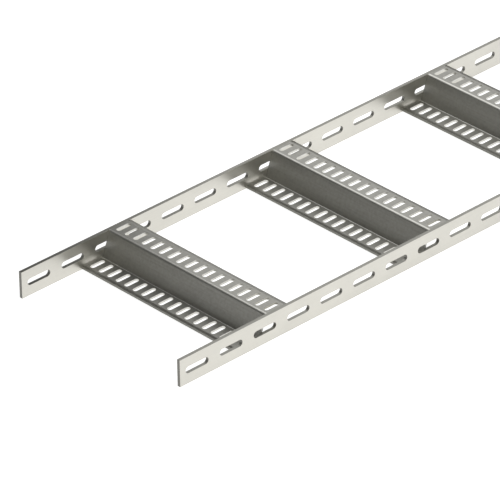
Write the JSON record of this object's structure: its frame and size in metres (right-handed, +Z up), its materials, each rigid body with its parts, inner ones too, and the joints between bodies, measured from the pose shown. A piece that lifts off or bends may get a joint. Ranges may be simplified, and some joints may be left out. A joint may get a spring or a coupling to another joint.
{
  "type": "cable ladder section",
  "caption": "Straight cable ladder section: two slotted flat-bar side rails joined by perforated Z-section rungs at an even pitch.",
  "frame": {"origin": "middle of the ladder's footprint, on the level it lies on", "axes": "+X along the side rails, +Y across the ladder, +Z up, with the side rails standing on edge"},
  "size_m": [3, 0.31, 0.04],
  "materials": {
    "rail_steel": "satin",
    "rung_steel": "satin"
  },
  "bodies": {
    "root": {"side_rail_left": "rail_steel", "side_rail_right": "rail_steel", "rung_01": "rung_steel", "rung_02": "rung_steel", "rung_03": "rung_steel", "rung_04": "rung_steel", "rung_05": "rung_steel", "rung_06": "rung_steel", "rung_07": "rung_steel", "rung_08": "rung_steel", "rung_09": "rung_steel", "rung_10": "rung_steel"}
  },
  "joints": []
}
